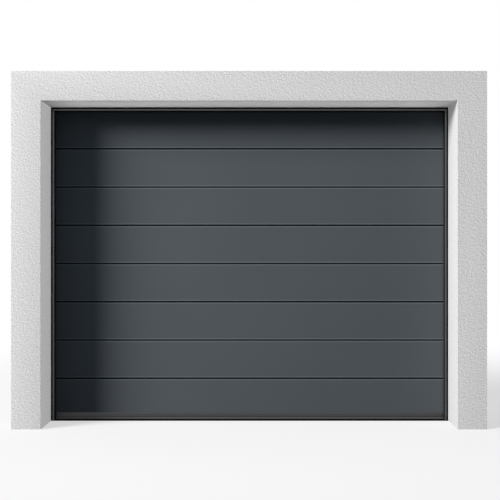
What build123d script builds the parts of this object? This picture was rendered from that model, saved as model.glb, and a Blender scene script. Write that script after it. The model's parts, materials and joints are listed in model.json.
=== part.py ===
"""Overhead garage door of four insulated sections, closed, in its rendered masonry surround.

X runs to the right as seen from outside, Y runs into the garage, Z is up.
The origin is the middle of the doorway, on the floor, in the wall's outer face.
"""

from build123d import *
from math import atan2, cos, radians, sin
import os

os.makedirs("parts", exist_ok=True)

# Masonry surround
opening_width = 2700
opening_height = 2130
surround_width = 192
wall_depth = 240

# Steel frame behind the opening
frame_sheet = 3
frame_cover = 22
bead_width = 10.5
bead_depth = 8
gasket_depth = 5
seal_width = 9
seal_front_depth = 4
seal_back_depth = 5
flange_reach = 97
frame_above_opening = 50
head_plate_above_opening = 40
floor_strip_height = 6
floor_strip_reach = 6

# Sections of the leaf
section_count = 4
leaf_overlap = 12
leaf_clearance = 5
leaf_thickness = 42
skin = 1
lowest_line = 25
top_line_drop = 19
top_edge_above_opening = 7
joint_width = 5
lip_thickness = 7
lip_radius = 2
tongue_height = 28
tongue_clearance = 5
tongue_back_inset = 12.5
groove_back_inset = 6
rib_width = 10
rib_floor_width = 5
rib_depth = 6
cap_sheet = 1.5
cap_width = 68

# Bottom edge of the leaf
bottom_seal_height = 8.5
floor_clearance = 1
bottom_profile_height = 45.5
bottom_step_height = 13
bottom_step_depth = 3
bottom_line_width = 4.5
bottom_seal_inset = 6

# Hinges, rollers and their pins
pivot_offset = 12.5
hinge_sheet = 3
hinge_width = 60
hinge_plate_gap = 15
hinge_plate_length = 75
arm_reach = 50
arm_shoulder = 14
arm_thickness = 3.5
knuckle_radius = 9.5
knuckle_width = 12
knuckle_play = 2
pin_radius = 5
pin_play = 0.1
side_hinge_inset = 50
centre_hinge_spacing = 900
roller_radius = 22
roller_width = 16
roller_mouth_play = 6
pin_beyond_roller = 2
bottom_roller_height = 110
top_roller_drop = 36
bracket_half_height = 68

# Tracks
mouth_clearance = 18.5
track_depth = 32
track_width = 52
track_sheet = 2
track_slot = 32
curve_radius = 240
top_tilt = 45.5
bend_lead_in = 3.5
rail_end = 2790
bend_points = 9

# Rail fixings
gusset_below_curve = 90
gusset_margin = 32
gusset_depth = 300
hanger_sheet = 2.5
hanger_leg = 30
hanger_foot = 70
hanger_foot_width = 60
hanger_hole_radius = 4.5
hanger_hole_spacing = 30
hanger_from_rail_end = 75
hanger_pitch = 1215
crossbar_leg = 40

# Counterbalance
shaft_radius = 12.5
shaft_play = 0.1
shaft_from_wall = 65
shaft_above_opening = 120
shaft_beyond_bracket = 6
spring_radius = 28
spring_wire = 6
spring_length = 620
spring_from_centre = 40
plug_flange = 30
plug_insert = 30
winding_plug_length = 50
bearing_radius = 22
bearing_width = 10
bracket_plate = 4
bracket_half_width = 50
bracket_margin = 60
drum_radius = 42
drum_groove = 2
groove_count = 6
drum_flange_radius = 50
drum_flange_width = 4
drum_width = 35
drum_hub_radius = 20
drum_hub_width = 6
cable_radius = 2
cable_from_leaf = 8
eye_radius = 9
eye_width = 5
eye_pin_radius = 4
ferrule_radius = 3.5
ferrule_length = 22
cable_pin_height = 100

# Places worked out across the door, from the middle outwards
half_opening = opening_width / 2
wall_end_x = half_opening + surround_width
frame_inner_x = half_opening - frame_cover
bead_outer_x = frame_inner_x + bead_width
leaf_half = frame_inner_x + leaf_overlap
leaf_end_x = leaf_half + cap_sheet
track_mouth_x = leaf_end_x + mouth_clearance
track_back_x = track_mouth_x + track_depth
track_mid_x = track_mouth_x + track_depth / 2
side_hinge_x = leaf_half - side_hinge_inset
roller_inner_x = track_mouth_x + roller_mouth_play
pin_end_x = roller_inner_x + roller_width + pin_beyond_roller
cable_x = leaf_end_x + cable_from_leaf

# Places worked out through the wall, from outside inwards
plate_back = wall_depth + frame_sheet
leaf_front = wall_depth + seal_back_depth + leaf_clearance
leaf_back = leaf_front + leaf_thickness
cap_back = leaf_back + cap_sheet
hinge_back = cap_back + hinge_sheet
pivot_y = cap_back + pivot_offset
flange_back = plate_back + flange_reach
shaft_y = wall_depth + shaft_from_wall
cable_y = shaft_y - drum_radius - cable_radius

# Heights
wall_top = opening_height + surround_width
frame_inner_z = opening_height - frame_cover
bead_outer_z = frame_inner_z + bead_width
side_frame_top = opening_height + frame_above_opening
pitch = (opening_height - top_line_drop - lowest_line) / section_count
joints = [lowest_line + pitch * (i + 1) for i in range(section_count - 1)]
leaf_bottom = bottom_seal_height + bottom_profile_height
leaf_top = opening_height + top_edge_above_opening
lower_rail_z = opening_height
curve_start_z = lower_rail_z - curve_radius
curve_end_y = pivot_y + curve_radius
shaft_z = opening_height + shaft_above_opening

# Opening travel: the lower sections rise straight while the top one tips back about the highest joint.
# Tilt and lift keep one ratio, and this travel brings the top roller onto the level part of its rail.
top_pivot_z = joints[-1]
top_arm = leaf_top - top_roller_drop - top_pivot_z
lift_travel = top_arm * radians(top_tilt) * sin(radians(top_tilt))
lift_per_radian = lift_travel / radians(top_tilt)


def top_roller_point(tilt, offset=0.0):
    """Where the top roller's axis is (y, z) at a tilt in degrees, moved sideways off its path by offset."""
    a = radians(tilt)
    along_y = top_arm * cos(a)
    along_z = lift_per_radian - top_arm * sin(a)
    slope = atan2(along_z, along_y)
    y = pivot_y + top_arm * sin(a) - offset * sin(slope)
    z = top_pivot_z + lift_per_radian * a + top_arm * cos(a) + offset * cos(slope)
    return (y, z)


upper_rail_y, upper_rail_z = top_roller_point(top_tilt)


def save(part, name):
    """Writes one named piece."""
    part.label = name
    export_step(part, f"parts/{name}.step")


def save_pair(part, name):
    """Writes a right-hand piece and its mirror image for the left."""
    save(part, f"{name}_right")
    save(mirror(part, about=Plane.YZ), f"{name}_left")


def block(x0, x1, y0, y1, z0, z1, mode=Mode.ADD):
    """A box between two corners, inside the part being built."""
    with Locations(((x0 + x1) / 2, (y0 + y1) / 2, (z0 + z1) / 2)):
        Box(x1 - x0, y1 - y0, z1 - z0, mode=mode)


def rod(radius, x0, x1, y, z, mode=Mode.ADD):
    """A round bar along X, inside the part being built."""
    with Locations(Location(((x0 + x1) / 2, y, z), (0, 90, 0))):
        Cylinder(radius, x1 - x0, mode=mode)


# Masonry: two jambs and the lintel over them

with BuildPart() as wall_jamb:
    block(half_opening, wall_end_x, 0, wall_depth, 0, opening_height)
save_pair(wall_jamb.part, "wall_jamb")

with BuildPart() as wall_lintel:
    block(-wall_end_x, wall_end_x, 0, wall_depth, opening_height, wall_top)
save(wall_lintel.part, "wall_lintel")


# Frame: a folded side plate with a bead that shows in the opening, and a flange that carries the tracks

bead_front = wall_depth - bead_depth

with BuildPart() as side_frame:
    block(frame_inner_x, bead_outer_x, bead_front, wall_depth, floor_strip_height, frame_inner_z)
    block(frame_inner_x, track_back_x + frame_sheet, wall_depth, plate_back, 0, side_frame_top)
    block(track_back_x, track_back_x + frame_sheet, plate_back, flange_back, 0, side_frame_top)
save_pair(side_frame.part, "side_frame")

with BuildPart() as head_frame:
    block(-bead_outer_x, bead_outer_x, bead_front, wall_depth, frame_inner_z, bead_outer_z)
    block(
        -frame_inner_x,
        frame_inner_x,
        wall_depth,
        plate_back,
        frame_inner_z,
        opening_height + head_plate_above_opening,
    )
save(head_frame.part, "head_frame")


def surround_strip(half_inner, top_inner, half_outer, top_outer, front, back):
    """A strip of rubber up one side of the opening, across its head and down the other side."""
    with BuildSketch(Plane.XZ.offset(-front)) as strip:
        with Locations((0, (top_outer + floor_strip_height) / 2)):
            Rectangle(2 * half_outer, top_outer - floor_strip_height)
        with Locations((0, (top_inner + floor_strip_height) / 2)):
            Rectangle(2 * half_inner, top_inner - floor_strip_height, mode=Mode.SUBTRACT)
    extrude(strip.sketch, amount=front - back)


with BuildPart() as perimeter_gasket:
    surround_strip(
        bead_outer_x,
        bead_outer_z,
        half_opening,
        opening_height,
        wall_depth - gasket_depth,
        wall_depth,
    )
    block(-half_opening, half_opening, bead_front, wall_depth, 0, floor_strip_height)
    block(
        -frame_inner_x,
        frame_inner_x,
        wall_depth,
        wall_depth + floor_strip_reach,
        0,
        floor_strip_height,
    )
save(perimeter_gasket.part, "perimeter_gasket")

with BuildPart() as perimeter_seal:
    surround_strip(
        frame_inner_x - seal_width,
        frame_inner_z - seal_width,
        frame_inner_x,
        frame_inner_z,
        wall_depth - seal_front_depth,
        wall_depth + seal_back_depth,
    )
save(perimeter_seal.part, "perimeter_seal")


# Tracks: one channel section, straight, curved and level


def channel():
    """The channel's section about its middle, with its mouth towards the leaf."""
    Rectangle(track_depth, track_width)
    Rectangle(track_depth - 2 * track_sheet, track_width - 2 * track_sheet, mode=Mode.SUBTRACT)
    with Locations(((track_sheet - track_depth) / 2, 0)):
        Rectangle(track_sheet, track_slot, mode=Mode.SUBTRACT)


with BuildPart() as vertical_track:
    with BuildSketch():
        with Locations((track_mid_x, pivot_y)):
            channel()
    extrude(amount=curve_start_z)
save_pair(vertical_track.part, "vertical_track")

with BuildPart() as curved_track:
    with BuildSketch(Plane.XY.offset(curve_start_z)):
        with Locations((track_mid_x, pivot_y)):
            channel()
    revolve(axis=Axis((0, curve_end_y, curve_start_z), (-1, 0, 0)), revolution_arc=90)
save_pair(curved_track.part, "curved_track")

for rail_name, rail_start, rail_z in (
    ("lower_rail", curve_end_y, lower_rail_z),
    ("upper_rail", upper_rail_y, upper_rail_z),
):
    with BuildPart() as level_rail:
        with BuildSketch(Plane.XZ.offset(-rail_start)):
            with Locations((track_mid_x, rail_z)):
                channel()
        extrude(amount=rail_start - rail_end)
    save_pair(level_rail.part, rail_name)


def bend_layer(width, x0, x1, mode):
    """A band of the given width along the top roller's path, from one place across the door to another."""
    steps = [-bend_lead_in + (top_tilt + bend_lead_in) * i / (bend_points - 1) for i in range(bend_points)]
    upper = [top_roller_point(tilt, width / 2) for tilt in steps]
    lower = [top_roller_point(tilt, -width / 2) for tilt in steps]
    with BuildSketch(Plane.YZ.offset(x0)) as band:
        with BuildLine():
            Spline(*upper)
            Spline(*lower)
            Line(upper[0], lower[0])
            Line(upper[-1], lower[-1])
        make_face()
    extrude(band.sketch, amount=x1 - x0, mode=mode)


with BuildPart() as upper_bend:
    bend_layer(track_width, track_mouth_x, track_back_x, Mode.ADD)
    bend_layer(
        track_width - 2 * track_sheet,
        track_mouth_x + track_sheet,
        track_back_x - track_sheet,
        Mode.SUBTRACT,
    )
    bend_layer(track_slot, track_mouth_x, track_mouth_x + track_sheet, Mode.SUBTRACT)
save_pair(upper_bend.part, "upper_bend")


# Plates that tie the curved tracks to the frame

gusset_back = flange_back + gusset_depth
gusset_top = upper_rail_z + gusset_margin
gusset_foot = curve_start_z - gusset_below_curve

with BuildPart() as track_gussets:
    with BuildSketch(Plane.YZ.offset(track_back_x)):
        with BuildLine():
            Polyline(
                (flange_back, gusset_foot),
                (flange_back, side_frame_top),
                (flange_back + gusset_below_curve, gusset_top),
                (gusset_back, gusset_top),
                (gusset_back, lower_rail_z - gusset_margin),
                (curve_end_y - gusset_margin, lower_rail_z - gusset_margin),
                (flange_back + gusset_margin, curve_start_z),
                close=True,
            )
        make_face()
    extrude(amount=frame_sheet)
    mirror(about=Plane.YZ)
save(track_gussets.part, "track_gussets")


# Angle hangers from the rails up to the ceiling, level with the wall's top, and the bar across the rails' ends

rear_hanger_y = rail_end - hanger_from_rail_end

with BuildPart() as ceiling_hangers:
    for place in (rear_hanger_y - hanger_pitch, rear_hanger_y):
        block(
            track_back_x,
            track_back_x + hanger_sheet,
            place - hanger_leg / 2,
            place + hanger_leg / 2,
            lower_rail_z - track_width / 2,
            wall_top,
        )
        block(
            track_back_x,
            track_back_x + hanger_leg,
            place - hanger_leg / 2,
            place - hanger_leg / 2 + hanger_sheet,
            lower_rail_z - track_width / 2,
            wall_top,
        )
        block(
            track_back_x,
            track_back_x + hanger_foot,
            place - hanger_foot_width / 2,
            place + hanger_foot_width / 2,
            wall_top - hanger_sheet,
            wall_top,
        )
        with Locations((track_back_x + hanger_foot / 2, place, wall_top - hanger_sheet / 2)):
            with GridLocations(hanger_hole_spacing, 0, 2, 1):
                Cylinder(hanger_hole_radius, 2 * hanger_sheet, mode=Mode.SUBTRACT)
    mirror(about=Plane.YZ)
save(ceiling_hangers.part, "ceiling_hangers")

crossbar_end_x = track_back_x + frame_sheet
crossbar_foot = lower_rail_z - track_width / 2

with BuildPart() as rear_crossbar:
    block(
        -crossbar_end_x,
        crossbar_end_x,
        rail_end,
        rail_end + hanger_sheet,
        crossbar_foot,
        crossbar_foot + track_width,
    )
    block(
        -crossbar_end_x,
        crossbar_end_x,
        rail_end,
        rail_end + crossbar_leg,
        crossbar_foot,
        crossbar_foot + hanger_sheet,
    )
save(rear_crossbar.part, "rear_crossbar")


# Counterbalance on the back of the lintel: shaft, two torsion springs, their plugs, brackets and drums

bracket_foot = shaft_z - bracket_margin
bracket_top = shaft_z + bracket_margin
bracket_back = shaft_y + bracket_margin - bearing_radius
spring_end_x = spring_from_centre + spring_length
bore = shaft_radius + shaft_play

with BuildPart() as spring_shaft:
    shaft_end_x = track_back_x + frame_sheet + bearing_width + shaft_beyond_bracket
    rod(shaft_radius, -shaft_end_x, shaft_end_x, shaft_y, shaft_z)
save(spring_shaft.part, "spring_shaft")

with BuildPart() as torsion_spring:
    rod(spring_radius, spring_from_centre, spring_end_x, shaft_y, shaft_z)
    rod(spring_radius - spring_wire, spring_from_centre, spring_end_x, shaft_y, shaft_z, Mode.SUBTRACT)
save_pair(torsion_spring.part, "torsion_spring")

with BuildPart() as spring_plugs:
    insert_radius = spring_radius - spring_wire - shaft_play
    rod(plug_flange, bracket_plate, spring_from_centre, shaft_y, shaft_z)
    rod(insert_radius, spring_from_centre, spring_from_centre + plug_insert, shaft_y, shaft_z)
    rod(bore, bracket_plate, spring_from_centre + plug_insert, shaft_y, shaft_z, Mode.SUBTRACT)
    rod(plug_flange, spring_end_x, spring_end_x + winding_plug_length, shaft_y, shaft_z)
    rod(insert_radius, spring_end_x - plug_insert, spring_end_x, shaft_y, shaft_z)
    rod(bore, spring_end_x - plug_insert, spring_end_x + winding_plug_length, shaft_y, shaft_z, Mode.SUBTRACT)
    mirror(about=Plane.YZ)
save(spring_plugs.part, "spring_plugs")

with BuildPart() as centre_bracket:
    block(
        -bracket_half_width,
        bracket_half_width,
        wall_depth,
        wall_depth + bracket_plate,
        bracket_foot,
        bracket_top,
    )
    block(
        -bracket_plate / 2,
        bracket_plate / 2,
        wall_depth,
        bracket_back,
        shaft_z - bearing_radius,
        bracket_top,
    )
    rod(bearing_radius, -bracket_plate, bracket_plate, shaft_y, shaft_z)
    rod(bore, -bracket_plate, bracket_plate, shaft_y, shaft_z, Mode.SUBTRACT)
save(centre_bracket.part, "centre_bracket")

with BuildPart() as end_brackets:
    block(
        track_back_x,
        track_back_x + bracket_half_width,
        wall_depth,
        plate_back,
        bracket_foot,
        bracket_top,
    )
    block(
        track_back_x,
        track_back_x + frame_sheet,
        wall_depth,
        bracket_back,
        bracket_foot,
        bracket_top,
    )
    rod(bearing_radius, track_back_x, track_back_x + frame_sheet + bearing_width, shaft_y, shaft_z)
    rod(bore, track_back_x, track_back_x + frame_sheet + bearing_width, shaft_y, shaft_z, Mode.SUBTRACT)
    mirror(about=Plane.YZ)
save(end_brackets.part, "end_brackets")

drum_inner_x = cable_x - cable_radius - drum_flange_width
drum_outer_x = drum_inner_x + drum_flange_width + drum_width
groove_step = (drum_width - drum_flange_width) / groove_count

with BuildPart() as cable_drums:
    rod(drum_flange_radius, drum_inner_x, drum_inner_x + drum_flange_width, shaft_y, shaft_z)
    rod(drum_radius, drum_inner_x, drum_outer_x, shaft_y, shaft_z)
    for i in range(1, groove_count + 1):
        ridge_x = drum_inner_x + drum_flange_width + groove_step * i
        rod(drum_radius + drum_groove, ridge_x, ridge_x + drum_groove / 2, shaft_y, shaft_z)
    rod(drum_hub_radius, drum_outer_x, drum_outer_x + drum_hub_width, shaft_y, shaft_z)
    rod(bore, drum_inner_x, drum_outer_x + drum_hub_width, shaft_y, shaft_z, Mode.SUBTRACT)
    mirror(about=Plane.YZ)
save(cable_drums.part, "cable_drums")

cable_foot = cable_pin_height + eye_radius + ferrule_length

with BuildPart() as lift_cables:
    with BuildSketch(Plane.XY.offset(cable_foot)):
        with Locations((cable_x, cable_y)):
            Circle(cable_radius)
    extrude(amount=shaft_z - cable_foot)
    mirror(about=Plane.YZ)
save(lift_cables.part, "lift_cables")


# Sections: steel skins round a foam core, with a tongue on top, a groove below and a rib line half way up

tongue_radius = pivot_y - leaf_front - lip_thickness - tongue_clearance
groove_radius = tongue_radius + tongue_clearance
tongue_back = leaf_back - tongue_back_inset
groove_back = leaf_back - groove_back_inset
groove_height = tongue_height + tongue_clearance


def nose(radius, back, z_joint, z_low, z_high, mode):
    """The rounded shape of a tongue, struck about the hinge line so that the joint can open."""
    with BuildSketch() as shape:
        with Locations((pivot_y, z_joint)):
            Circle(radius)
        with Locations(((leaf_front + back) / 2, (z_low + z_high) / 2)):
            Rectangle(back - leaf_front, z_high - z_low, mode=Mode.INTERSECT)
    add(shape.sketch, mode=mode)


def section_outline(x, z_low, z_high, rib_z, over_tongue, with_tongue, hollow=False):
    """One section's outline at a place across the door, between its lower and upper edges."""
    with BuildSketch(Plane.YZ.offset(x)) as outline:
        with Locations(((leaf_front + leaf_back) / 2, (z_low + z_high) / 2)):
            Rectangle(leaf_thickness, z_high - z_low)
        if over_tongue:
            joint_z = z_low - joint_width / 2
            nose(groove_radius, groove_back, joint_z, joint_z, joint_z + groove_height, Mode.SUBTRACT)
        if with_tongue:
            joint_z = z_high + joint_width / 2
            nose(tongue_radius, tongue_back, joint_z, z_high - skin, joint_z + tongue_height, Mode.ADD)
        with BuildLine():
            Polyline(
                (leaf_front, rib_z - rib_width / 2),
                (leaf_front + rib_depth, rib_z - rib_floor_width / 2),
                (leaf_front + rib_depth, rib_z + rib_floor_width / 2),
                (leaf_front, rib_z + rib_width / 2),
                close=True,
            )
        make_face(mode=Mode.SUBTRACT)
        fillet(vertices().group_by(Axis.X)[0], radius=lip_radius)
        if hollow:
            offset(amount=-skin, kind=Kind.INTERSECTION, mode=Mode.SUBTRACT)
    return outline


def build_section(*edges):
    """The steel skins of one section, over the leaf's width."""
    extrude(section_outline(-leaf_half, *edges, hollow=True).sketch, amount=2 * leaf_half)


def build_caps(*edges):
    """The folded end caps of one section, at both ends."""
    z_low, z_high = edges[:2]
    extrude(section_outline(leaf_half, *edges).sketch, amount=cap_sheet)
    block(leaf_end_x - cap_width, leaf_end_x, leaf_back, cap_back, z_low, z_high)
    extrude(section_outline(-leaf_end_x, *edges).sketch, amount=cap_sheet)
    block(-leaf_end_x, cap_width - leaf_end_x, leaf_back, cap_back, z_low, z_high)


def section_edges(number):
    """Lower edge, upper edge, rib height and the joints of a section, counted from the floor."""
    is_bottom, is_top = number == 0, number == section_count - 1
    z_low = leaf_bottom if is_bottom else joints[number - 1] + joint_width / 2
    z_high = leaf_top if is_top else joints[number] - joint_width / 2
    rib_z = lowest_line + pitch * (number + 0.5)
    return z_low, z_high, rib_z, not is_bottom, not is_top


for number, section_name in enumerate(("bottom_section", "lower_section", "upper_section", "top_section")):
    with BuildPart() as door_section:
        build_section(*section_edges(number))
    save(door_section.part, section_name)

with BuildPart() as leaf_end_caps:
    for number in range(section_count - 1):
        build_caps(*section_edges(number))
save(leaf_end_caps.part, "leaf_end_caps")

with BuildPart() as top_end_caps:
    build_caps(*section_edges(section_count - 1))
save(top_end_caps.part, "top_end_caps")


# Bottom edge: an extruded profile with a step and a line along it, over a rubber seal

step_top = bottom_seal_height + bottom_step_height

with BuildPart() as bottom_profile:
    block(-leaf_end_x, leaf_end_x, leaf_front, leaf_back, bottom_seal_height, step_top)
    block(
        -leaf_end_x,
        leaf_end_x,
        leaf_front + 2 * bottom_step_depth,
        leaf_back,
        step_top,
        step_top + bottom_line_width,
    )
    block(
        -leaf_end_x,
        leaf_end_x,
        leaf_front + bottom_step_depth,
        leaf_back,
        step_top + bottom_line_width,
        leaf_bottom,
    )
save(bottom_profile.part, "bottom_profile")

with BuildPart() as bottom_seal:
    seal_width_y = leaf_thickness - 2 * bottom_seal_inset
    with BuildSketch(Plane.YZ):
        with Locations(((leaf_front + leaf_back) / 2, (floor_clearance + bottom_seal_height) / 2)):
            Rectangle(seal_width_y, bottom_seal_height - floor_clearance)
        fillet(vertices().group_by(Axis.Y)[0], radius=bottom_seal_height / 2)
    extrude(amount=leaf_end_x, both=True)
save(bottom_seal.part, "bottom_seal")


# Hinges: a lower plate that carries the pin, and an upper flap that turns on it

hinge_plate_end = hinge_plate_gap + hinge_plate_length


def arm(x0, x1, z, turn):
    """The bracket arm from a hinge plate to its knuckle. turn is 1 above the pivot and -1 below it."""
    with BuildSketch(Plane.YZ.offset(x0)) as side:
        with BuildLine():
            Polyline(
                (cap_back, z + turn * arm_reach),
                (cap_back + arm_thickness, z + turn * arm_reach),
                (pivot_y + knuckle_radius - hinge_sheet, z + turn * knuckle_radius / 2),
                (pivot_y, z),
                (pivot_y - knuckle_radius + hinge_sheet, z + turn * knuckle_radius / 2),
                (cap_back, z + turn * arm_shoulder),
                close=True,
            )
        make_face()
    extrude(side.sketch, amount=x1 - x0)
    rod(knuckle_radius, x0, x1, pivot_y, z)


def hinge_plate(x, z, turn):
    """The flat of a hinge leaf, against the section's end cap or skin line."""
    low, high = sorted((z + turn * hinge_plate_gap, z + turn * hinge_plate_end))
    block(x - hinge_width / 2, x + hinge_width / 2, cap_back, hinge_back, low, high)


def lower_leaf(x, z, pin_reach):
    """The fixed leaf: a plate, two knuckles and the pin."""
    half = hinge_width / 2
    hinge_plate(x, z, -1)
    arm(x - half, x - half + knuckle_width, z, -1)
    arm(x + half - knuckle_width, x + half, z, -1)
    rod(pin_radius, x - half, pin_reach, pivot_y, z)


def upper_flap(x, z):
    """The turning leaf: a plate and one knuckle round the pin."""
    half = hinge_width / 2 - knuckle_width - knuckle_play
    hinge_plate(x, z, 1)
    arm(x - half, x + half, z, 1)
    rod(pin_radius + pin_play, x - half, x + half, pivot_y, z, Mode.SUBTRACT)


def packing(x, z_low, z_high):
    """The pad between the skin and a middle hinge, as thick as the end caps beside it."""
    block(x - hinge_width / 2, x + hinge_width / 2, leaf_back, cap_back, z_low, z_high)


centre_hinge_x = centre_hinge_spacing / 2


def lower_leaves(z):
    """The fixed leaves across one joint, on the right-hand half."""
    lower_leaf(side_hinge_x, z, pin_end_x)
    lower_leaf(centre_hinge_x, z, centre_hinge_x + hinge_width / 2)
    packing(centre_hinge_x, z - hinge_plate_end, z - hinge_plate_gap)


def upper_flaps(z):
    """The turning leaves across one joint, on the right-hand half."""
    upper_flap(side_hinge_x, z)
    upper_flap(centre_hinge_x, z)
    packing(centre_hinge_x, z + hinge_plate_gap, z + hinge_plate_end)


for hinges_name, z in (("hinges_lower", joints[0]), ("hinges_middle", joints[1])):
    with BuildPart() as hinge_row:
        upper_flaps(z)
        lower_leaves(z)
        mirror(about=Plane.YZ)
    save(hinge_row.part, hinges_name)

with BuildPart() as hinges_upper:
    lower_leaves(top_pivot_z)
    mirror(about=Plane.YZ)
save(hinges_upper.part, "hinges_upper")

with BuildPart() as top_hinge_flaps:
    upper_flaps(top_pivot_z)
    mirror(about=Plane.YZ)
save(top_hinge_flaps.part, "top_hinge_flaps")


# Brackets at the leaf's corners: the bottom ones hold the cable too

tab_back = hinge_back
tab_front = cable_y - eye_radius
bracket_inner_x = side_hinge_x - hinge_width / 2
holder_end_x = leaf_end_x - knuckle_radius


def roller_bracket(z, turn):
    """A corner plate with a tube for the roller's pin."""
    low, high = sorted((z - turn * bracket_half_height / 2, z + turn * bracket_half_height))
    block(bracket_inner_x, leaf_end_x, cap_back, hinge_back, low, high)
    arm(bracket_inner_x, holder_end_x, z, turn)
    rod(pin_radius, bracket_inner_x, pin_end_x, pivot_y, z)


with BuildPart() as bottom_brackets:
    roller_bracket(bottom_roller_height, 1)
    block(
        leaf_end_x,
        leaf_end_x + hinge_sheet,
        tab_front,
        tab_back,
        cable_pin_height - 2 * eye_radius,
        cable_pin_height + 2 * eye_radius,
    )
    rod(eye_pin_radius, leaf_end_x, cable_x + eye_width, cable_y, cable_pin_height)
    rod(eye_radius, cable_x - eye_width / 2, cable_x + eye_width / 2, cable_y, cable_pin_height)
    with BuildSketch(Plane.XY.offset(cable_pin_height)):
        with Locations((cable_x, cable_y)):
            Circle(ferrule_radius)
    extrude(amount=eye_radius + ferrule_length)
    mirror(about=Plane.YZ)
save(bottom_brackets.part, "bottom_brackets")

top_roller_z = top_pivot_z + top_arm

with BuildPart() as top_roller_brackets:
    roller_bracket(top_roller_z, -1)
    mirror(about=Plane.YZ)
save(top_roller_brackets.part, "top_roller_brackets")


# Nylon rollers


def roller(z):
    """One roller on its pin, on the right-hand side."""
    rod(roller_radius, roller_inner_x, roller_inner_x + roller_width, pivot_y, z)
    rod(pin_radius + pin_play, roller_inner_x, roller_inner_x + roller_width, pivot_y, z, Mode.SUBTRACT)


with BuildPart() as leaf_rollers:
    for z in (bottom_roller_height, *joints):
        roller(z)
    mirror(about=Plane.YZ)
save(leaf_rollers.part, "leaf_rollers")

with BuildPart() as top_rollers:
    roller(top_roller_z)
    mirror(about=Plane.YZ)
save(top_rollers.part, "top_rollers")
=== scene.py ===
"""Looks of a garage door of four insulated sections in its rendered masonry surround.

Metres. X runs to the right as seen from outside, Y into the garage and Z up, from the middle of the
doorway on the floor, in the wall's outer face.
"""

import json
import math

import bmesh
import bpy
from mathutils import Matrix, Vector


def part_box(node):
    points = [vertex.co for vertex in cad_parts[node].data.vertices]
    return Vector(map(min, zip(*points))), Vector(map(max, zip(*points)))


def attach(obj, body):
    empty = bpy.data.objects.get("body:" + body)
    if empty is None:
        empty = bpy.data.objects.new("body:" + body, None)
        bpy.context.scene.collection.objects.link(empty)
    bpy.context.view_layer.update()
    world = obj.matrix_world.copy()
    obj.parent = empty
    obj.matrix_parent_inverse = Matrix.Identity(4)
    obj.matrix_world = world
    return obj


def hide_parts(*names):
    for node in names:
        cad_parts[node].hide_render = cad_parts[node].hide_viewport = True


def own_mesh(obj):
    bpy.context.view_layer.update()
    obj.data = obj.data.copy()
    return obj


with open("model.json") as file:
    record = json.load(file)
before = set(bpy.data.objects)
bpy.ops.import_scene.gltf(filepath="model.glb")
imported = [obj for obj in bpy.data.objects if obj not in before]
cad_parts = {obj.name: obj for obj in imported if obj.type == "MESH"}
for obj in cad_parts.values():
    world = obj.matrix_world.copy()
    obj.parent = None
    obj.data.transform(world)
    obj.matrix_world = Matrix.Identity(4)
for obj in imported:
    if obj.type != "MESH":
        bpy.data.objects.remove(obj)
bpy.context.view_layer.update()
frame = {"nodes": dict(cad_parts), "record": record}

nodes = frame["nodes"]
MM = 0.001


# Camera: square on to the wall, with the vanishing point a little off the picture's middle

camera_place = Vector((0.064, -4.762, 1.1945))
camera_lens = 52.93
sensor_width = 36
far_clip = 200
vanishing_point_px = (259, 245)
picture_px = 500


def photograph_camera():
    """The camera that sees the door as the photograph does."""
    data = bpy.data.cameras.new("camera")
    data.lens = camera_lens
    data.sensor_width = sensor_width
    data.shift_x = (picture_px / 2 - vanishing_point_px[0]) / picture_px
    data.shift_y = (vanishing_point_px[1] - picture_px / 2) / picture_px
    data.clip_end = far_clip
    camera = bpy.data.objects.new("camera", data)
    camera.location = camera_place
    camera.rotation_euler = (math.radians(90), 0, 0)
    bpy.context.scene.collection.objects.link(camera)
    bpy.context.scene.camera = camera


photograph_camera()


# Materials: one function for colours, one that adds a node, then one function for each finish


def linear(hex_colour):
    """An sRGB colour such as #53595E as linear red, green, blue and alpha."""
    channels = [int(hex_colour[i : i + 2], 16) / 255 for i in (1, 3, 5)]
    return (*[c / 12.92 if c <= 0.04045 else ((c + 0.055) / 1.055) ** 2.4 for c in channels], 1.0)


def add(tree, kind, settings=None, inputs=None):
    """Adds one shader node. An input takes a value, a socket, or another node's first output."""
    made = tree.nodes.new(kind)
    for name, value in (settings or {}).items():
        setattr(made, name, value)
    for key, value in (inputs or {}).items():
        if isinstance(value, bpy.types.Node):
            value = value.outputs[0]
        if isinstance(value, bpy.types.NodeSocket):
            tree.links.new(value, made.inputs[key])
        else:
            made.inputs[key].default_value = value
    return made


def new_material(name, shader_values):
    """A material with its shader's fixed values set: (material, node tree, shader, object coordinates)."""
    made = bpy.data.materials.new(name)
    made.use_nodes = True
    tree = made.node_tree
    shader = tree.nodes["Principled BSDF"]
    for key, value in shader_values.items():
        shader.inputs[key].default_value = value
    where = add(tree, "ShaderNodeTexCoord").outputs["Object"]
    return made, tree, shader, where


def feed(tree, shader, outputs):
    """Links outputs to the shader's inputs of these names."""
    for name, output in outputs.items():
        tree.links.new(output, shader.inputs[name])


def per_metre(size_mm):
    """The scale of a pattern whose features are this large."""
    return 1000 / size_mm


# Render: the grain's drawn size in millimetres, its lean, how it is squeezed and drawn out, its depth, the
# values at which it is darkest and lightest, and how much of it is left where the render is floated
grain_size = 6
grain_lean = math.radians(-45)
grain_stretch = (1.5, 1.0, 0.55)
grain_depth = 1.5 * MM
grain_darkest = 0.36
grain_lightest = 0.64
floated_grain = 0.3


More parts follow.
